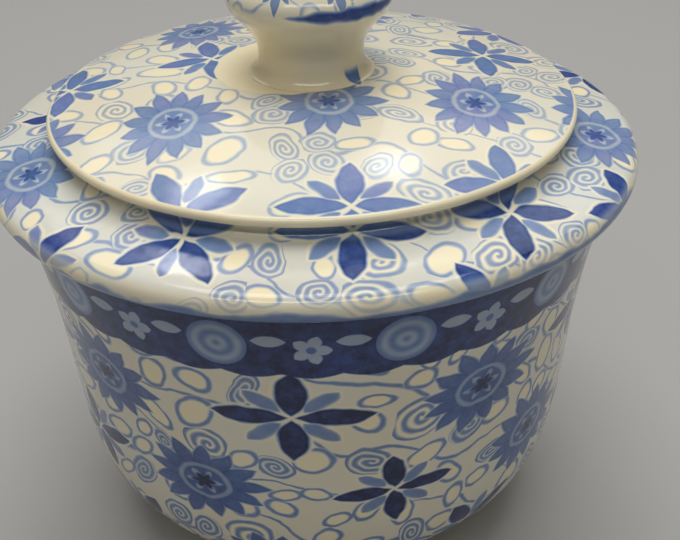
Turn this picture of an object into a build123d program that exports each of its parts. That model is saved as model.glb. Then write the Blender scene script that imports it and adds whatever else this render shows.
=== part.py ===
"""Butter crock: a footed bowl, and a brimmed lid with a knob above and a butter bell below.

Millimetres, +Z up. The origin is the centre of the foot ring's resting face.
Every piece is turned about Z from a closed outline drawn in the XZ plane, so a point
in an outline is (radius, height).
"""
from build123d import *
import os

# Bowl
WALL = 3.6                    # thickness of the upright wall
RIM_RADIUS = 54.2             # outside, at the rim
RIM_HEIGHT = 78.0             # top of the rim, where the lid rests
RIM_ROUNDING = 1.5
WAIST_RADIUS = 49.9           # outside, where the wall is upright
WAIST_HEIGHT = 31.0           # below this the body rounds in to the foot
SHOULDER_HEIGHT = 58.0        # above this the wall flares to the rim
SHOULDER_RADIUS = 51.3
BELLY = [(41.4, 9.8), (47.0, 17.0)]                 # outside of the rounded lower body
INNER_BELLY = [(42.6, 19.0), (36.4, 11.2)]          # inside of it
FLOOR_HEIGHT = 8.0            # inside of the floor
FLOOR_RADIUS = 26.0           # the floor is flat out to here
FOOT_RADIUS = 34.0            # outside of the foot ring
FOOT_HEIGHT = 4.6             # where the body leaves the foot ring
FOOT_WIDTH = 4.0
FOOT_DEPTH = 3.4              # recess inside the foot ring
FOOT_ROUNDING = 0.7

# Lid
LIP_RADIUS = 46.5             # edge of the raised disc
LIP_HEIGHT = 86.5             # middle of that edge
LIP_ROUNDING = 0.85           # the edge is a half round
RECESS_RADIUS = 44.8          # wall of the step under the lip
STEP_FOOT_HEIGHT = 84.6       # here the step starts to curve out into the brim
BRIM_START = (46.2, 83.3)     # a point on that curve, at its foot
BRIM_RADIUS = 57.6            # outermost edge of the lid
EDGE_ROUNDING = 2.3           # roll of the brim's outer edge
EDGE_HEIGHT = 79.2            # centre of that roll
BRIM_SLOPE = 14.0             # degrees down, where the brim meets the roll
SEAT_GAP = 0.2                # the lid sits this far above the rim
SEAT_OUTER_RADIUS = 55.0
LOCATING_RADIUS = 49.0        # ring that drops inside the rim
LOCATING_WIDTH = 3.2
LOCATING_DEPTH = 4.5
CORNER_ROUNDING = 1.0         # corners of that ring
LAND_RADIUS = 11.2            # flat land under the knob
LAND_HEIGHT = 91.2
DOME_RADIUS = 29.0            # a point halfway down the lid's dome
DOME_HEIGHT = 90.0
UNDERSIDE_HEIGHT = 83.2       # flat underside that the bell is joined to
CROWN_HEIGHT = 86.8           # underside inside the bell, at the middle

# Butter bell
BELL_RADIUS = 36.0            # outside, at the joint with the lid
BELL_RIM_RADIUS = 35.0        # outside, at its lower edge
BELL_WALL = 3.4
BELL_RIM_HEIGHT = 33.0
BELL_JOINT_FILLET = 2.0
BELL_RIM_ROUNDING = 1.5

# Knob, each curve given by a point on its way
KNOB_BASE_EDGE = 0.12         # height of its edge where it is joined to the land
NECK_FLARE = (9.8, 92.3)
NECK = (9.3, 95.2)            # the narrowest place
CAP_UNDERSIDE = (11.6, 100.2)
CAP_EDGE = (14.3, 104.6)      # the widest place
CAP_SHOULDER = (10.6, 108.8)
KNOB_HEIGHT = 110.5           # top of the cap

# Directions in an outline
UP = (0, 1)
DOWN = (0, -1)
INWARD = (-1, 0)
BELLY_START = (1, 0.4)        # where the body leaves the foot ring
RIM_FLARE = (0.16, 1)         # where the wall reaches the rim
CROWN_START = (-1, 0.22)      # where the underside rises inside the bell


def turned(outline):
    """Turn a closed outline, already drawn as a sketch, about Z."""
    return revolve(outline, axis=Axis.Z)


def curve(*points, start, end):
    """Smooth curve through the points, leaving along start and arriving along end."""
    return Spline(*points, tangents=(start, end), tangent_scalars=(1, 1))


def corners(sketch, *points):
    """The outline's corners at these (radius, height) points."""
    return [sketch.vertices().sort_by_distance(point)[0] for point in points]


def crock_body():
    """Bowl with its foot ring, one thrown piece."""
    foot_inner = FOOT_RADIUS - FOOT_WIDTH
    rim_inner = RIM_RADIUS - WALL
    flare_down = (-RIM_FLARE[0], -RIM_FLARE[1])
    with BuildSketch(Plane.XZ) as outline:
        with BuildLine():
            curve(
                (FOOT_RADIUS, FOOT_HEIGHT),
                *BELLY,
                (WAIST_RADIUS, WAIST_HEIGHT),
                (SHOULDER_RADIUS, SHOULDER_HEIGHT),
                (RIM_RADIUS, RIM_HEIGHT),
                start=BELLY_START,
                end=RIM_FLARE,
            )
            Line((RIM_RADIUS, RIM_HEIGHT), (rim_inner, RIM_HEIGHT))
            curve(
                (rim_inner, RIM_HEIGHT),
                (SHOULDER_RADIUS - WALL, SHOULDER_HEIGHT),
                (WAIST_RADIUS - WALL, WAIST_HEIGHT),
                *INNER_BELLY,
                (FLOOR_RADIUS, FLOOR_HEIGHT),
                start=flare_down,
                end=INWARD,
            )
            Polyline(
                (FLOOR_RADIUS, FLOOR_HEIGHT),
                (0, FLOOR_HEIGHT),
                (0, FOOT_DEPTH),
                (foot_inner, FOOT_DEPTH),
                (foot_inner, 0),
                (FOOT_RADIUS, 0),
                (FOOT_RADIUS, FOOT_HEIGHT),
            )
        make_face()
        fillet(corners(outline, (RIM_RADIUS, RIM_HEIGHT), (rim_inner, RIM_HEIGHT)), RIM_ROUNDING)
        foot = corners(
            outline,
            (foot_inner, 0),
            (FOOT_RADIUS, 0),
            (foot_inner, FOOT_DEPTH),
            (FOOT_RADIUS, FOOT_HEIGHT),
        )
        fillet(foot, FOOT_ROUNDING)
    return turned(outline.sketch)


def lid_top():
    """Upper side of the lid, from the land under the knob out to the bottom of the brim's roll."""
    lip_centre = Vector(LIP_RADIUS - LIP_ROUNDING, LIP_HEIGHT)
    lip_under = lip_centre - Vector(0, LIP_ROUNDING)
    roll_centre = Vector(BRIM_RADIUS - EDGE_ROUNDING, EDGE_HEIGHT)
    brim_slope = Vector(1, 0).rotate(Axis.Z, -BRIM_SLOPE)
    roll_start = roll_centre + Vector(0, EDGE_ROUNDING).rotate(Axis.Z, -BRIM_SLOPE)
    Line((0, LAND_HEIGHT), (LAND_RADIUS, LAND_HEIGHT))
    Spline((LAND_RADIUS, LAND_HEIGHT), (DOME_RADIUS, DOME_HEIGHT), lip_centre + Vector(0, LIP_ROUNDING))
    CenterArc(lip_centre, LIP_ROUNDING, 0, 90)
    CenterArc(lip_centre, LIP_ROUNDING, -90, 90)
    Polyline(lip_under, (RECESS_RADIUS, lip_under.Y), (RECESS_RADIUS, STEP_FOOT_HEIGHT))
    curve((RECESS_RADIUS, STEP_FOOT_HEIGHT), BRIM_START, roll_start, start=DOWN, end=brim_slope)
    CenterArc(roll_centre, EDGE_ROUNDING, 0, 90 - BRIM_SLOPE)
    CenterArc(roll_centre, EDGE_ROUNDING, -90, 90)
    return roll_centre - Vector(0, EDGE_ROUNDING)


def lid_underside(roll_bottom):
    """Underside of the lid, from the bottom of the brim's roll in to the middle."""
    seat_height = RIM_HEIGHT + SEAT_GAP
    ring_bottom = seat_height - LOCATING_DEPTH
    ring_inner = LOCATING_RADIUS - LOCATING_WIDTH
    bell_inner = BELL_RADIUS - BELL_WALL
    Polyline(
        roll_bottom,
        (SEAT_OUTER_RADIUS, seat_height),
        (LOCATING_RADIUS, seat_height),
        (LOCATING_RADIUS, ring_bottom),
        (ring_inner, ring_bottom),
        (ring_inner, seat_height),
        (BELL_RADIUS + BELL_JOINT_FILLET + 1, UNDERSIDE_HEIGHT),
        (bell_inner - 1, UNDERSIDE_HEIGHT),
    )
    curve((bell_inner - 1, UNDERSIDE_HEIGHT), (0, CROWN_HEIGHT), start=CROWN_START, end=INWARD)
    Line((0, CROWN_HEIGHT), (0, LAND_HEIGHT))


def lid():
    """Raised disc, step and brim, with the ring underneath that keeps it centred on the bowl."""
    with BuildSketch(Plane.XZ) as outline:
        with BuildLine():
            lid_underside(lid_top())
        make_face()
        ring_bottom = RIM_HEIGHT + SEAT_GAP - LOCATING_DEPTH
        softened = corners(
            outline,
            (LOCATING_RADIUS, ring_bottom),
            (LOCATING_RADIUS - LOCATING_WIDTH, ring_bottom),
            (LOCATING_RADIUS - LOCATING_WIDTH, RIM_HEIGHT + SEAT_GAP),
        )
        fillet(softened, CORNER_ROUNDING)
    return turned(outline.sketch)


def butter_bell():
    """Cup that holds the butter: an open-ended wall, closed above by the lid it is joined to."""
    with BuildSketch(Plane.XZ) as outline:
        joint = BELL_JOINT_FILLET
        with BuildLine():
            Polyline(
                (BELL_RADIUS + joint, UNDERSIDE_HEIGHT),
                (BELL_RADIUS - BELL_WALL, UNDERSIDE_HEIGHT),
                (BELL_RIM_RADIUS - BELL_WALL, BELL_RIM_HEIGHT),
                (BELL_RIM_RADIUS, BELL_RIM_HEIGHT),
                (BELL_RADIUS, UNDERSIDE_HEIGHT - joint),
            )
            RadiusArc(
                (BELL_RADIUS, UNDERSIDE_HEIGHT - joint), (BELL_RADIUS + joint, UNDERSIDE_HEIGHT), joint
            )
        make_face()
        rim = corners(
            outline, (BELL_RIM_RADIUS, BELL_RIM_HEIGHT), (BELL_RIM_RADIUS - BELL_WALL, BELL_RIM_HEIGHT)
        )
        fillet(rim, BELL_RIM_ROUNDING)
    return turned(outline.sketch)


def lid_knob():
    """Mushroom knob on a waisted neck that spreads onto the lid."""
    with BuildSketch(Plane.XZ) as outline:
        with BuildLine():
            base_edge = (LAND_RADIUS, LAND_HEIGHT + KNOB_BASE_EDGE)
            Polyline((0, KNOB_HEIGHT), (0, LAND_HEIGHT), (LAND_RADIUS, LAND_HEIGHT), base_edge)
            curve(base_edge, NECK_FLARE, NECK, start=INWARD, end=UP)
            curve(NECK, CAP_UNDERSIDE, CAP_EDGE, start=UP, end=UP)
            curve(CAP_EDGE, CAP_SHOULDER, (0, KNOB_HEIGHT), start=UP, end=INWARD)
        make_face()
    return turned(outline.sketch)


PIECES = {
    "crock_body": crock_body,
    "lid": lid,
    "butter_bell": butter_bell,
    "lid_knob": lid_knob,
}

os.makedirs("parts", exist_ok=True)
for node, build_piece in PIECES.items():
    export_step(build_piece(), f"parts/{node}.step")
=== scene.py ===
"""Looks of the butter crock: blue printed flowers under a clear glaze on cream earthenware.

The print is drawn by shader nodes. Every pattern function gives the density of the blue ink,
from 0 (bare cream glaze) to 1 (darkest navy), and one ramp turns that density into colour.
Pattern lengths are in millimetres. Places on the lid are (x, y) seen from above; places on
the bowl are (arc, height), with arc measured round the wall from the front, to the right.
"""
from math import cos, pi, radians, sin, tau

import bpy
from mathutils import Matrix, Vector


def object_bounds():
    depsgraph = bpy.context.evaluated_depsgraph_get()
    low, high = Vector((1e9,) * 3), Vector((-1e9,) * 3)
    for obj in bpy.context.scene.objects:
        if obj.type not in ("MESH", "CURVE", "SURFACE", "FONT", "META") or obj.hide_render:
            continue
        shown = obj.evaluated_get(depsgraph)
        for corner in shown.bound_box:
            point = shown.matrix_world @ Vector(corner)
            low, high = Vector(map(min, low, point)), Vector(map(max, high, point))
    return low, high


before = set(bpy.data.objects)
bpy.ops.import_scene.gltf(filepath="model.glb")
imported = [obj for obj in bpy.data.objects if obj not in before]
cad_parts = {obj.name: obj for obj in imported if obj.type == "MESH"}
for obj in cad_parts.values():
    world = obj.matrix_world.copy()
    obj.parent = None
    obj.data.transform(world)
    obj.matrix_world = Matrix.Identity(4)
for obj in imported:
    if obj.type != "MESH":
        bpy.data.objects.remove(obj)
CAD_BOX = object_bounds()

MM = 0.001

# Flowers: (x, y, turn in degrees), and a scale where it is not 1. A size is how far the petals
# reach from the centre, along and across.
LID_DAISY_SIZE = (9.8, 12.6)
LID_DAISIES = [
    (-22.0, -19.5, 5), (3.0, -14.5, 0), (27.3, -13.5, -5), (-23.5, 26.5, 0),
    (-45.8, -21.5, 10), (49.0, -11.0, -10), (7.0, 34.0, 0), (-4.0, 54.0, 90), (-52.0, 27.0, 20),
]
LID_CROSS_SIZE = (10.0, 11.0)
KNOB_CROSS = (1.5, -1.0, -45)      # mostly hidden by the knob, which carries a part of it
LID_CROSSES = [
    (31.5, 9.0, 0), (-43.5, 0.0, 0), (-18.5, 6.5, 12), (6.0, -43.5, 90), (-18.0, -43.5, 25),
    (29.5, -37.5, 5), (37.0, 28.0, 30), (-28.0, 48.0, -30), (26.0, 46.0, 60), (54.0, 19.0, 10),
    (27.0, -58.0, 40), (-41.0, -45.0, 40), (51.0, -33.0, 20), KNOB_CROSS,
]
BOWL_DAISY_SIZE = (12.6, 9.8)
BOWL_DAISIES = [
    (-38.5, 53.5, 0), (-20.0, 37.0, 5), (28.0, 54.5, 5), (43.0, 36.0, 0), (-8.0, 17.0, 0),
    (80.0, 53.0, 0), (-80.0, 53.0, 0), (-69.3, 36.0, 0, 0.85), (-63.0, 19.0, 0), (58.0, 16.0, 0),
]
BOWL_CROSS_SIZE = (12.0, 9.0)
BOWL_CROSSES = [
    (-3.5, 55.0, 0, 1.1), (13.0, 36.5, 3, 0.9), (56.0, 57.0, 0), (-61.0, 54.0, 0),
    (-48.0, 34.0, 20), (66.0, 34.0, 10), (30.0, 18.0, 30), (-38.0, 17.0, -30), (80.0, 17.0, 0),
    (-80.0, 17.0, 0),
]
KNOB_DAISY_SIZE = (6.4, 6.4)
KNOB_DAISIES = [(0.0, 0.0, 10)]
KNOB_CROSS_SIZE = (4.0, 4.4)
KNOB_CROSS_RADIUS = 12.6
KNOB_CROSSES = [(KNOB_CROSS_RADIUS * cos(radians(a)), KNOB_CROSS_RADIUS * sin(radians(a)), a)
                for a in range(23, 383, 45)]
BOWL_ARC_RADIUS = 51.0        # radius that arcs round the bowl are measured at
BOWL_REPEAT = 180.0           # degrees: the print goes round the bowl in two lengths

# Ink densities
LID_LINE_INK = 0.33
BRIM_LINE_INK = 0.45
BOWL_LINE_INK = 0.58
LID_DAISY_INK = 0.56
BOWL_DAISY_INK = 0.78
LEAF_INK = 0.55
LID_CROSS_INK = 0.6
BRIM_CROSS_INK = 0.86
BOWL_CROSS_INK = 0.97
KNOB_INK = 0.5


def srgb(red, green, blue):
    """Linear colour of an 8-bit sRGB one, with full alpha."""
    return tuple((c / 255 / 12.92 if c < 10.3 else ((c / 255 + 0.055) / 1.055) ** 2.4)
                 for c in (red, green, blue)) + (1.0,)


# ---------------------------------------------------------------- shader arithmetic

class Field:
    """A number that varies over a surface. Arithmetic on it adds nodes to its material."""

    def __init__(self, tree, socket):
        self.tree = tree
        self.socket = socket

    def math(self, operation, *others, clamp=False):
        node = self.tree.nodes.new("ShaderNodeMath")
        node.operation = operation
        node.use_clamp = clamp
        for socket, value in zip(node.inputs, (self, *others)):
            put(self.tree, socket, value)
        return Field(self.tree, node.outputs[0])

    def __add__(self, other):
        return self.math("ADD", other)

    def __sub__(self, other):
        return self.math("SUBTRACT", other)

    def __rsub__(self, other):
        return (self * -1).math("ADD", other)

    def __mul__(self, other):
        return self.math("MULTIPLY", other)

    def __truediv__(self, other):
        return self.math("DIVIDE", other)

    __radd__ = __add__
    __rmul__ = __mul__

    def abs(self):
        return self.math("ABSOLUTE")

    def cos(self):
        return self.math("COSINE")

    def sin(self):
        return self.math("SINE")

    def fract(self):
        return self.math("FRACT")

    def floor(self):
        return self.math("FLOOR")

    def max(self, other):
        return self.math("MAXIMUM", other)

    def min(self, other):
        return self.math("MINIMUM", other)

    def above(self, edge, softness):
        """0 below the edge and 1 above it, changing smoothly over the softness."""
        node = self.tree.nodes.new("ShaderNodeMapRange")
        node.interpolation_type = "SMOOTHSTEP"
        put(self.tree, node.inputs["Value"], self)
        put(self.tree, node.inputs["From Min"], edge - softness / 2)
        put(self.tree, node.inputs["From Max"], edge + softness / 2)
        return Field(self.tree, node.outputs["Result"])

    def below(self, edge, softness):
        return 1 - self.above(edge, softness)


def put(tree, socket, value):
    """Give a socket a field, another node's socket or a constant."""
    if isinstance(value, Field):
        tree.links.new(value.socket, socket)
    elif isinstance(value, bpy.types.NodeSocket):
        tree.links.new(value, socket)
    else:
        socket.default_value = value


def hypot(x, y):
    return (x * x + y * y).math("SQRT")


def blend(low, high, factor):
    """Between two densities, by a factor from 0 to 1."""
    return low + (high - low) * factor


def vector(tree, x, y, z=0.0):
    node = tree.nodes.new("ShaderNodeCombineXYZ")
    for socket, value in zip(node.inputs, (x, y, z)):
        put(tree, socket, value)
    return node.outputs[0]


def components(tree, socket):
    node = tree.nodes.new("ShaderNodeSeparateXYZ")
    tree.links.new(socket, node.inputs[0])
    return [Field(tree, output) for output in node.outputs]


def mix(tree, kind, factor, low, high, how="MIX"):
    """Mix two vectors, where kind is VECTOR, or two colours, where it is RGBA."""
    node = tree.nodes.new("ShaderNodeMix")
    node.data_type = kind
    node.blend_type = how
    put(tree, node.inputs["Factor"], factor)
    first, second = [s for s in node.inputs if s.name in ("A", "B") and s.type == kind]
    put(tree, first, low)
    put(tree, second, high)
    return [s for s in node.outputs if s.type == kind][0]


def noise(tree, place, scale, detail=2.0):
    node = tree.nodes.new("ShaderNodeTexNoise")
    put(tree, node.inputs["Vector"], place)
    put(tree, node.inputs["Scale"], scale)
    put(tree, node.inputs["Detail"], detail)
    return Field(tree, node.outputs["Fac"])


NOISE_GAIN = 4                # noise strays from its middle by about a quarter


def shaken(tree, place, scale, reach):
    """The place moved about, by roughly the reach, for a hand-drawn wobble."""
    node = tree.nodes.new("ShaderNodeTexNoise")
    put(tree, node.inputs["Vector"], place)
    put(tree, node.inputs["Scale"], scale)
    put(tree, node.inputs["Detail"], 1.0)
    x, y, _ = components(tree, place)
    dx, dy, _ = components(tree, node.outputs["Color"])
    gain = reach * NOISE_GAIN
    return vector(tree, x + (dx - 0.5) * gain, y + (dy - 0.5) * gain)


# ---------------------------------------------------------------- flowers

# Lengths inside a flower are shares of its size.
DAISY_PETALS = 13
DAISY_PETAL = (0.2, 0.15, 2.0)         # start, half width and bluntness of a petal
PETAL_UNEVENNESS = 0.13                # a petal is up to this much shorter than the longest
PETAL_STEP = 2.4                       # spreads the lengths over the petals
DAISY_HEART = 0.43                     # solid inside this radius
PALE_RING = (0.33, 0.41)               # inner and outer radius
ROSETTE_PETAL = (0.1, 0.3, 0.06)       # start, end and half width
STAR_RADIUS = 0.14
STAR_POINTS = 6
STAR_POINT_LENGTH = 0.05
PALE_RING_SHARE = 0.55                 # of the petals' ink
ROSETTE_SHARE = 0.5                    # of the petals' ink
STAR_EXTRA_INK = 0.24
LONG_PETAL = (0.05, 1.0, 0.185)        # start, end and half width
SHORT_PETAL = (0.05, 0.98, 0.19)       # the same
LEAF = (0.2, 0.78, 0.112, 3.0)         # start, end, half width and bluntness
DIAGONAL = 0.7071                      # cosine of 45 degrees


def nearest_flower(tree, place, flowers, size):
    """The frame of whichever flower is nearest, as (u, v), and how far out in it the place is."""
    best = None
    reach = None
    for x, y, turn, *scale in flowers:
        width, height = (side * (scale or [1])[0] for side in size)
        to_flower = tree.nodes.new("ShaderNodeMapping")
        to_flower.vector_type = "TEXTURE"
        put(tree, to_flower.inputs["Vector"], place)
        put(tree, to_flower.inputs["Location"], (x, y, 0))
        put(tree, to_flower.inputs["Rotation"], (0, 0, radians(turn)))
        put(tree, to_flower.inputs["Scale"], (width, height, 1))
        length = tree.nodes.new("ShaderNodeVectorMath")
        length.operation = "LENGTH"
        tree.links.new(to_flower.outputs[0], length.inputs[0])
        distance = Field(tree, length.outputs["Value"])
        if best is None:
            best = to_flower.outputs[0]
            reach = distance
        else:
            nearer = distance.math("LESS_THAN", reach)
            best = mix(tree, "VECTOR", nearer, best, to_flower.outputs[0])
            reach = reach.min(distance)
    u, v, _ = components(tree, best)
    return u, v, reach


def petal(along, across, start, end, half_width, bluntness=2.4):
    """Depth inside a petal that is pointed at both ends; it is negative outside the petal."""
    middle = (start + end) / 2
    offset = ((along - middle) / ((end - start) / 2)).abs()
    return (1 - offset.math("POWER", bluntness)) * half_width - across


def folded(angle, count):
    """Angle to the nearest of count equally spaced directions, and that direction's number."""
    turn = angle * (count / tau) + 0.5
    return (turn.fract() - 0.5).abs() * (tau / count), turn.floor()


def daisy(u, v, petal_ink):
    """A daisy with a pale ring and a dark star, as (ink, depth inside its outline)."""
    radius = hypot(u, v)
    angle = v.math("ARCTAN2", u)
    off_axis, number = folded(angle, DAISY_PETALS)
    tip = 1 - (number * PETAL_STEP).sin().abs() * PETAL_UNEVENNESS
    start, half_width, bluntness = DAISY_PETAL
    depth = petal(radius * off_axis.cos(), radius * off_axis.sin(), start, tip, half_width,
                  bluntness)
    outline = depth.max(DAISY_HEART - radius)
    pooled = depth.below(0.035, 0.05) * 0.14
    ink = pooled + petal_ink - radius.above(0.55, 0.5) * 0.06
    ink = blend(ink, petal_ink * PALE_RING_SHARE, radius.below(PALE_RING[1], 0.05))
    ink = blend(ink, petal_ink, radius.below(PALE_RING[0], 0.05))
    off_point, _ = folded(angle, STAR_POINTS)
    rosette = petal(radius * off_point.cos(), radius * off_point.sin(), *ROSETTE_PETAL)
    ink = blend(ink, petal_ink * ROSETTE_SHARE, rosette.above(0.01, 0.05))
    star = radius - (angle * STAR_POINTS).cos() * STAR_POINT_LENGTH
    ink = blend(ink, min(petal_ink + STAR_EXTRA_INK, 1.0), star.below(STAR_RADIUS, 0.06))
    return ink, outline


def cross(u, v, dark_ink):
    """Two long and two short dark petals with paler leaves between, as (ink, depth)."""
    across = u.abs()
    up = v.abs()
    long_petal = petal(across, up, *LONG_PETAL)
    short_petal = petal(up, across, *SHORT_PETAL)
    dark = long_petal.max(short_petal)
    diagonal = (across + up) * DIAGONAL
    leaf = petal(diagonal, (across - up).abs() * DIAGONAL, *LEAF)
    pooled = dark.below(0.04, 0.06) * 0.1
    ink = blend(LEAF_INK, pooled + dark_ink, dark.above(0.0, 0.03))
    return ink, dark.max(leaf)


def flowers(tree, place, daisies, daisy_size, daisy_ink, crosses, cross_size, cross_ink):
    """Ink of the placed flowers, where they are, and where the ground must stay clear."""
    u, v, _ = nearest_flower(tree, place, daisies, daisy_size)
    pale_ink, daisy_depth = daisy(u, v, daisy_ink)
    u, v, _ = nearest_flower(tree, place, crosses, cross_size)
    dark_ink, cross_depth = cross(u, v, cross_ink)
    on_cross = cross_depth.above(0.0, 0.06)
    ink = blend(pale_ink, dark_ink, on_cross)
    depth = daisy_depth.max(cross_depth)
    halo = (daisy_depth - 0.03).max(cross_depth)
    return ink, depth.above(0.0, 0.08), halo.above(-0.05, 0.08)


# ---------------------------------------------------------------- ground of rings and spirals

CELL = 7.2                    # spacing of the small motifs
RING_LINE = 0.48              # half width of their lines
LINE_SOFTNESS = 0.9
LID_SPIRALS = 0.52            # share of the motifs that are spirals, the others being rings
BOWL_SPIRALS = 0.27
HAZE_INK = 0.085              # faint wash between the motifs
BRIM_HAZE_INK = 0.15
STEM_SPACING = 13.0
STEM_SLANT = 3                # spacings along for one spacing across
STEM_WANDER = 1.3             # spacings
STEM_HALF_WIDTH = 0.028       # of a spacing
SMALLEST_RADIUS = 2.7         # half length of the smallest motif, before the overreach
OVERREACH = 1.18              # a motif is longer than its cell by this factor, and squashed
LEAST_SQUASH = 0.52           # height over length of the flattest ring
SQUASH_RANGE = 0.24           # the roundest ring has this much more,
SPIRAL_ROUNDER = 0.12         # and a spiral this much more again
SPIRAL_PITCH = 0.42           # of the radius
SPIRAL_END = 1.16             # of the radius
FLOWER_ROOM = 0.66            # motifs whose centre is nearer than this to a flower's are left out


def scrollwork(tree, place, line_ink, haze_ink, spirals, clear_of):
    """Rings and spirals, one in each cell of a loose grid, left out where flowers stand."""
    place = shaken(tree, place, 0.035, 2.5)
    spots = tree.nodes.new("ShaderNodeTexVoronoi")
    room = tree.nodes.new("ShaderNodeTexVoronoi")
    room.feature = "N_SPHERE_RADIUS"
    for node in (spots, room):
        node.voronoi_dimensions = "2D"
        put(tree, node.inputs["Vector"], place)
        put(tree, node.inputs["Scale"], 1 / CELL)
        put(tree, node.inputs["Randomness"], 0.5)
    centre = spots.outputs["Position"]
    offset = tree.nodes.new("ShaderNodeVectorMath")
    offset.operation = "SUBTRACT"
    put(tree, offset.inputs[0], place)
    put(tree, offset.inputs[1], centre)
    chance = tree.nodes.new("ShaderNodeSeparateColor")
    tree.links.new(spots.outputs["Color"], chance.inputs[0])
    turn, squash, kind = [Field(tree, output) for output in chance.outputs]
    spin = tree.nodes.new("ShaderNodeVectorRotate")
    spin.rotation_type = "Z_AXIS"
    put(tree, spin.inputs["Vector"], offset.outputs[0])
    put(tree, spin.inputs["Angle"], turn * tau)
    x, y, _ = components(tree, spin.outputs[0])
    radius = (Field(tree, room.outputs["Radius"]) * CELL).max(SMALLEST_RADIUS) * OVERREACH
    is_spiral = kind.math("GREATER_THAN", 1 - spirals)
    y = y / (LEAST_SQUASH + squash * SQUASH_RANGE + is_spiral * SPIRAL_ROUNDER)
    distance = hypot(x, y)
    ring = (distance - radius + RING_LINE).abs()
    pitch = radius * SPIRAL_PITCH
    turns = distance / pitch - y.math("ARCTAN2", x) / tau
    spiral = (turns.fract() - 0.5).abs() * pitch
    spiral = spiral + distance.above(radius * SPIRAL_END, 0.3) * CELL
    line = blend(ring, spiral, is_spiral)
    drawn = line.below(RING_LINE, LINE_SOFTNESS)
    outside = distance.above(radius, 0.5)
    kept = None
    for placed, size in clear_of:
        _, _, reach = nearest_flower(tree, centre, placed, size)
        clear = reach.above(FLOWER_ROOM, 0.01)
        kept = clear if kept is None else kept * clear
    between = outside.max(1 - kept)
    drawn = (drawn * kept).max(tendrils(tree, place) * between)
    return (drawn * line_ink).max(between * haze_ink)


def tendrils(tree, place):
    """Fine stems that wander between the motifs."""
    x, y, _ = components(tree, place)
    wander = noise(tree, place, 0.06, 0.5) * STEM_WANDER
    bands = ((y / STEM_SPACING + x / (STEM_SPACING * STEM_SLANT) + wander).fract() - 0.5).abs()
    return bands.below(STEM_HALF_WIDTH, 0.05)


# ---------------------------------------------------------------- prints

DISC_RADIUS = 46.0            # outside it, on the brim, the print is darker
LIP_RADII = (45.8, 46.8)      # the raised disc's edge is bare between these radii,
LIP_UNDERSIDE = 84.9          # above this height
ROLL_RADIUS = 54.5            # the print follows the brim's rolled edge down from here,
ROLL_HEIGHT = 81.4            # below this height,
STEP_FOOT = 83.3              # and up the step under the disc from here,
STEP_TOP = 86.0               # to here
SEAT_RADIUS = 55.0            # the underside is bare inside this radius,
SEAT_HEIGHT = 78.6            # below this height
BARE_PATCH = (-4.5, 2.0)      # the print is missing round the knob, most of all on the left
BARE_PATCH_SIZE = (13, 13.5)
PAINTED_ROLL_HIGHLIGHT = 0.5                    # share of the print taken off the rolled edge: a painted highlight, paler where the glaze shines
STRIPE_START = 4.4            # the stripe round the rolled edge starts this far down, less a noise
STRIPE_STREAKS = 4            # times this, and less x
STRIPE_LEAN = 0.018           # times this,
STRIPE_END = 4.3              # and it ends this far down
STRIPE_INK = 0.38
STRIPE_INK_RANGE = 0.36


def lid_print(tree, x, y, z):
    radius = hypot(x, y)
    over_edge = (ROLL_HEIGHT - z).max(0) * radius.above(ROLL_RADIUS, 0.5)
    up_step = (z - STEP_FOOT).max(0) * z.below(STEP_TOP, 0.2)
    stretch = (radius + over_edge - up_step) / radius.max(0.1)
    place = shaken(tree, vector(tree, x * stretch, y * stretch), 0.3, 0.25)
    on_brim = radius.above(DISC_RADIUS, 1.0)
    cross_ink = blend(LID_CROSS_INK, BRIM_CROSS_INK, on_brim)
    ink, flower, halo = flowers(tree, place, LID_DAISIES, LID_DAISY_SIZE, LID_DAISY_INK,
                                LID_CROSSES, LID_CROSS_SIZE, cross_ink)
    clear_of = [(LID_DAISIES, LID_DAISY_SIZE), (LID_CROSSES, LID_CROSS_SIZE)]
    line_ink = blend(LID_LINE_INK, BRIM_LINE_INK, on_brim)
    haze_ink = blend(HAZE_INK, BRIM_HAZE_INK, on_brim)
    ground = scrollwork(tree, place, line_ink, haze_ink, LID_SPIRALS, clear_of) * (1 - halo)
    ink = blend(ground, ink, flower)
    lip = radius.above(LIP_RADII[0], 0.3) * radius.below(LIP_RADII[1], 0.2)
    lip = lip * z.above(LIP_UNDERSIDE, 0.4)
    outside = z.above(SEAT_HEIGHT, 0.3).max(radius.above(SEAT_RADIUS, 0.3))
    bare = hypot((x - BARE_PATCH[0]) / BARE_PATCH_SIZE[0], (y - BARE_PATCH[1]) / BARE_PATCH_SIZE[1])
    bare = (bare + (noise(tree, place, 0.12) - 0.5) * 0.25).below(1.0, 0.03)
    # painted highlight: the print is paled on the rolled edge, where the glaze catches the light
    painted_highlight = over_edge.above(0.5, 1.0) * PAINTED_ROLL_HIGHLIGHT
    ink = ink * (1 - lip) * (1 - bare) * (1 - painted_highlight) * outside
    streak = noise(tree, place, 0.11, 2.0)
    stripe = (over_edge + streak * STRIPE_STREAKS + x * STRIPE_LEAN).above(STRIPE_START, 1.4)
    stripe = stripe * over_edge.below(STRIPE_END, 0.8)
    return ink.max(stripe * (STRIPE_INK + noise(tree, place, 0.06, 1.0) * STRIPE_INK_RANGE))


BELLY_HEIGHT = 20             # below this the wall rounds in, and the print is drawn out,
BELLY_STRETCH = 0.5           # by this much more for each millimetre down
PRINT_END = 1.0               # lower edge of the print, on that drawn-out height


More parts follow.
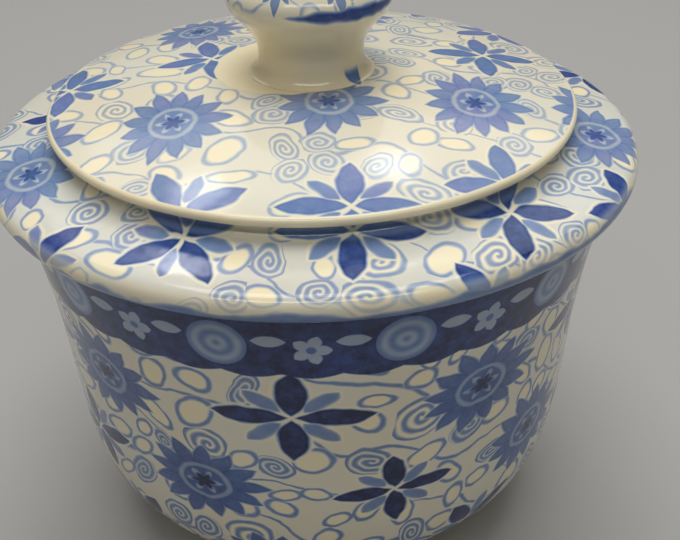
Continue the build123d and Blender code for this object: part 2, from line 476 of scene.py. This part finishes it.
def bowl_print(tree, x, y, z):
    angle = x.math("ARCTAN2", y * -1)
    repeat = radians(BOWL_REPEAT)
    arc = ((angle / repeat + 0.5).fract() - 0.5) * (repeat * BOWL_ARC_RADIUS)
    height = z - (BELLY_HEIGHT - z).max(0) * BELLY_STRETCH
    place = shaken(tree, vector(tree, arc, height), 0.3, 0.25)
    ink, flower, halo = flowers(tree, place, BOWL_DAISIES, BOWL_DAISY_SIZE, BOWL_DAISY_INK,
                                BOWL_CROSSES, BOWL_CROSS_SIZE, BOWL_CROSS_INK)
    clear_of = [(BOWL_DAISIES, BOWL_DAISY_SIZE), (BOWL_CROSSES, BOWL_CROSS_SIZE)]
    ground = scrollwork(tree, place, BOWL_LINE_INK, HAZE_INK, BOWL_SPIRALS, clear_of) * (1 - halo)
    ink = blend(ground, ink, flower)
    border, in_border = border_print(angle, z)
    ink = blend(ink, border, in_border)
    return ink * height.above(PRINT_END, 1.0)


BORDER_LOW = 64.5             # lower edge of the border round the top of the bowl
MEDALLION_HEIGHT = 70.0
MEDALLION_RADIUS = 4.4
MEDALLION_RING = 2.1          # spacing of its rings
MEDALLION_EVERY = 30.0        # degrees
MEDALLION_INK = 0.36
MEDALLION_INK_RANGE = 0.26    # its rings are darker by this much
SCALLOPS_PER_MEDALLION = 3
SCALLOP_DEPTH = 0.9
ROSETTE_HEIGHT = 69.5
ROSETTE_PETALS = 5
BORDER_PETAL = (0.2, 3.0, 1.0)         # start, end and half width
ROSETTE_EYE = 0.7             # radius
ROSETTE_EYE_INK = 0.7
BORDER_LEAF = (3.4, 8.4, 1.1)          # the same, from the rosette's middle
BORDER_LEAF_HEIGHT = 71.2
BORDER_INK = 0.95
BORDER_PALE_INK = 0.34


def border_print(angle, z):
    """Navy band with pale medallions, and a rosette with two leaves between each pair."""
    pitch = radians(MEDALLION_EVERY)
    along = ((angle / pitch).fract() - 0.5) * (pitch * BOWL_ARC_RADIUS)
    up = z - MEDALLION_HEIGHT
    out = hypot(along, up)
    rings = (out * (tau / MEDALLION_RING)).cos() * 0.5 + 0.5
    medallion = out.below(MEDALLION_RADIUS, 0.3)
    ink = blend(BORDER_INK, MEDALLION_INK + rings * MEDALLION_INK_RANGE, medallion)
    between = ((angle / pitch + 0.5).fract() - 0.5) * (pitch * BOWL_ARC_RADIUS)
    up = z - ROSETTE_HEIGHT
    off_axis, _ = folded(up.math("ARCTAN2", between), ROSETTE_PETALS)
    out = hypot(between, up)
    rosette = petal(out * off_axis.cos(), out * off_axis.sin(), *BORDER_PETAL)
    leaf = petal(between.abs(), (z - BORDER_LEAF_HEIGHT).abs(), *BORDER_LEAF)
    pale = rosette.max(leaf).above(0.0, 0.3)
    ink = blend(ink, BORDER_PALE_INK, pale)
    ink = blend(ink, ROSETTE_EYE_INK, out.below(ROSETTE_EYE, 0.3))
    scallop = (angle * (SCALLOPS_PER_MEDALLION * 180 / MEDALLION_EVERY)).cos().abs()
    return ink, (z + scallop * SCALLOP_DEPTH).above(BORDER_LOW, 0.3)


CAP_SHOULDER = 109.3          # below this the cap turns down, and the print is drawn out,
CAP_STRETCH = 0.5             # by this much for each millimetre down
CAP_EDGE = 104.6              # widest place of the cap, where a dark stroke runs round it
STROKE_SWELL = 1.1            # greatest half width of the stroke, which breaks off twice round,
STROKE_WOBBLE = 1.6           # give or take this times a noise
STROKE_INK = 0.88
NECK_FOOT = 93.2              # below this the knob carries its part of the lid's print


def knob_print(tree, x, y, z):
    radius = hypot(x, y)
    stretch = (radius + (CAP_SHOULDER - z).max(0) * CAP_STRETCH) / radius.max(0.1)
    place = shaken(tree, vector(tree, x * stretch, y * stretch), 0.4, 0.2)
    ink, flower, halo = flowers(tree, place, KNOB_DAISIES, KNOB_DAISY_SIZE, LID_DAISY_INK,
                                KNOB_CROSSES, KNOB_CROSS_SIZE, KNOB_INK)
    clear_of = [(KNOB_DAISIES, KNOB_DAISY_SIZE), (KNOB_CROSSES, KNOB_CROSS_SIZE)]
    ground = scrollwork(tree, place, LID_LINE_INK, HAZE_INK, LID_SPIRALS, clear_of) * (1 - halo)
    cap = blend(ground, ink, flower) * z.above(CAP_EDGE, 1.0)
    angle = y.math("ARCTAN2", x)
    wobble = (noise(tree, place, 0.25, 1.0) - 0.5) * STROKE_WOBBLE
    swell = (angle * 2 + 2.0).cos() * STROKE_SWELL + wobble
    stroke = swell - (z - CAP_EDGE).abs()
    cap = cap.max(stroke.above(0.0, 1.0) * STROKE_INK)
    u, v, _ = nearest_flower(tree, vector(tree, x, y), [KNOB_CROSS], LID_CROSS_SIZE)
    dark_ink, depth = cross(u, v, LID_CROSS_INK)
    at_foot = depth.above(0.0, 0.06) * z.below(NECK_FOOT, 1.6) * (x - y).above(12.0, 1.0)
    return cap.max(dark_ink * at_foot)


# ---------------------------------------------------------------- glaze

INK_COLOURS = [
    (0.0, srgb(243, 230, 194)),
    (0.13, srgb(220, 217, 202)),
    (0.36, srgb(152, 168, 188)),
    (0.6, srgb(102, 128, 174)),
    (0.86, srgb(48, 74, 136)),
    (1.0, srgb(18, 28, 72)),
]
BARE_CLAY = srgb(206, 190, 160)
CLAY_ROUGHNESS = 0.75
GLAZE_ROUGHNESS = 0.1
GLAZE_IOR = 1.52
GLAZE_WAVES = 0.0004                   # depth of the bump, in metres
GLAZE_WAVE_STRENGTH = 0.12
INK_STRENGTH = 0.72                    # the ink is this strong, and three noises add up to
CLOUD_INK = 0.16                       # this much each
WATER_INK = 0.3
GRAIN_INK = 0.1
COOL_TINT = (0.97, 0.985, 1.0, 1)
WARM_TINT = (1.0, 0.97, 0.92, 1)
VIOLET_TINT = (1.16, 0.95, 1.0, 1)     # in patches of the ink, on the lid and knob only
BOWL_TOP = 79.0                        # the bowl is all below this height
FOOT_FACE = 0.5                        # below this height the bowl is bare clay


def new_material(name):
    material = bpy.data.materials.new(name)
    material.use_nodes = True
    tree = material.node_tree
    shader = tree.nodes["Principled BSDF"]
    return material, tree, shader


def glazed(name, print_on=None, outside_only=False, bare_below=None):
    """Glazed earthenware, with a print under the glaze and a bare foot where they are asked for."""
    material, tree, shader = new_material(name)
    coordinates = tree.nodes.new("ShaderNodeTexCoord")
    to_mm = tree.nodes.new("ShaderNodeVectorMath")
    to_mm.operation = "SCALE"
    put(tree, to_mm.inputs[0], coordinates.outputs["Object"])
    put(tree, to_mm.inputs["Scale"], 1 / MM)
    place = to_mm.outputs[0]
    x, y, z = components(tree, place)
    cloud = noise(tree, place, 0.06, 3.0)
    grain = noise(tree, place, 1.8, 3.0)
    ink = None
    if print_on:
        ink = print_on(tree, x, y, z)
        nx, ny, nz = components(tree, coordinates.outputs["Normal"])
        if outside_only:
            ink = ink * (nx * x + ny * y).above(0.0, 4.0)
        ink = ink * nz.above(-0.75, 0.2)      # faces that look down carry no print
        water = noise(tree, place, 0.5, 3.0)
        ink = ink * (INK_STRENGTH + cloud * CLOUD_INK + water * WATER_INK + grain * GRAIN_INK)
    ramp = tree.nodes.new("ShaderNodeValToRGB")
    while len(ramp.color_ramp.elements) < len(INK_COLOURS):
        ramp.color_ramp.elements.new(0.5)
    for element, (position, colour) in zip(ramp.color_ramp.elements, INK_COLOURS):
        element.position = position
        element.color = colour
    put(tree, ramp.inputs[0], ink if ink is not None else 0.0)
    tint = mix(tree, "RGBA", cloud.above(0.5, 0.3), COOL_TINT, WARM_TINT)
    if ink is not None:
        violet = noise(tree, place, 0.07, 2.0).above(0.54, 0.16) * ink.above(0.4, 0.2)
        tint = mix(tree, "RGBA", violet * z.above(BOWL_TOP, 1.0), tint, VIOLET_TINT)
    colour = mix(tree, "RGBA", 1.0, ramp.outputs["Color"], tint, "MULTIPLY")
    roughness = GLAZE_ROUGHNESS + grain * 0.06
    if bare_below is not None:
        bare = z.below(bare_below, 0.3)
        colour = mix(tree, "RGBA", bare, colour, BARE_CLAY)
        roughness = blend(roughness, CLAY_ROUGHNESS, bare)
    put(tree, shader.inputs["Base Color"], colour)
    put(tree, shader.inputs["Roughness"], roughness)
    put(tree, shader.inputs["IOR"], GLAZE_IOR)
    bump = tree.nodes.new("ShaderNodeBump")
    put(tree, bump.inputs["Strength"], GLAZE_WAVE_STRENGTH)
    put(tree, bump.inputs["Distance"], GLAZE_WAVES)
    put(tree, bump.inputs["Height"], noise(tree, place, 0.22, 2.0))
    put(tree, shader.inputs["Normal"], bump.outputs[0])
    return material


def dress(node, material):
    """Give a CAD node its material."""
    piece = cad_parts[node]
    piece.data.materials.clear()
    piece.data.materials.append(material)


dress("lid", glazed("lid_glaze", lid_print))
dress("crock_body", glazed("bowl_glaze", bowl_print, outside_only=True, bare_below=FOOT_FACE))
dress("lid_knob", glazed("knob_glaze", knob_print))
dress("butter_bell", glazed("bell_glaze"))


# ---------------------------------------------------------------- studio

FLOOR_SIZE = 40               # metres, like every length in the studio
FLOOR_DROP = 0.00005          # keeps the floor clear of the foot
FLOOR_COLOUR = srgb(168, 166, 162)
FLOOR_ROUGHNESS = 0.8
AIM_HEIGHT = 0.7              # of the crock's height: the lights are aimed here
SKY_COLOUR = (0.93, 0.96, 1.0, 1)


def floor():
    """A plain pale floor."""
    material, tree, shader = new_material("studio_floor")
    put(tree, shader.inputs["Base Color"], FLOOR_COLOUR)
    put(tree, shader.inputs["Roughness"], FLOOR_ROUGHNESS)
    bpy.ops.mesh.primitive_plane_add(size=FLOOR_SIZE)
    plane = bpy.context.object
    plane.name = "studio_floor"
    plane.data.materials.append(material)
    plane.location.z = -FLOOR_DROP


def softbox(name, azimuth, elevation, distance, width, height, watts):
    """Panel light aimed at the lid. Azimuth 0 is in front, 90 to the right, 180 behind."""
    light = bpy.data.lights.new(name, "AREA")
    light.shape = "RECTANGLE"
    light.size = width
    light.size_y = height
    light.energy = watts
    aim = Vector((0, 0, CAD_BOX[1].z * AIM_HEIGHT))
    a, e = radians(azimuth), radians(elevation)
    toward = Vector((sin(a) * cos(e), -cos(a) * cos(e), sin(e)))
    lamp = bpy.data.objects.new(name, light)
    lamp.location = aim + toward * distance
    lamp.rotation_euler = toward.to_track_quat("Z", "Y").to_euler()
    bpy.context.scene.collection.objects.link(lamp)


def daylight(strength, spread, tilt):
    """Soft light from above, leaning to the back by the tilt. It shades but isn't reflected."""
    light = bpy.data.lights.new("daylight", "SUN")
    light.energy = strength
    light.angle = radians(spread)
    lamp = bpy.data.objects.new("daylight", light)
    lamp.rotation_euler = (radians(-tilt), 0, 0)
    lamp.visible_glossy = False
    bpy.context.scene.collection.objects.link(lamp)


def sky(strength):
    world = bpy.data.worlds.new("studio")
    world.use_nodes = True
    background = world.node_tree.nodes["Background"]
    background.inputs["Color"].default_value = SKY_COLOUR
    background.inputs["Strength"].default_value = strength
    bpy.context.scene.world = world


CAMERA_PLACE = (4.3, -152.8, 149.7)     # millimetres
CAMERA_PITCH = 33.64                    # degrees below level
CAMERA_ROLL = -1.12                     # degrees
CAMERA_LENS = 47.65                     # millimetres, on the usual 36 mm sensor


def camera():
    """Close, high view from the front, with a slight roll."""
    lens = bpy.data.cameras.new("camera")
    lens.lens = CAMERA_LENS
    lens.clip_start = 0.01
    eye = bpy.data.objects.new("camera", lens)
    pitch = Matrix.Rotation(pi / 2 - radians(CAMERA_PITCH), 4, "X")
    roll = Matrix.Rotation(radians(CAMERA_ROLL), 4, "Z")
    eye.matrix_world = Matrix.Translation(Vector(CAMERA_PLACE) * MM) @ pitch @ roll
    bpy.context.scene.collection.objects.link(eye)
    bpy.context.scene.camera = eye


floor()
sky(strength=0.11)
daylight(strength=1.22, spread=50, tilt=16)
for name, azimuth, elevation, distance, width, height, watts in (
    ("overhead", 180, 83, 0.9, 0.75, 0.4, 3.1),
    ("front_strip", 0, 56, 0.9, 0.9, 0.16, 2.1),
    ("rear_panel", 180, 42, 1.0, 1.0, 0.35, 1.2),
    ("left_window", -158.5, 47, 0.95, 0.09, 0.09, 0.15),
    ("right_window", 169, 44.5, 0.95, 0.09, 0.09, 0.15),
):
    softbox(name, azimuth, elevation, distance, width, height, watts)
camera()
bpy.context.scene.view_settings.view_transform = "Standard"
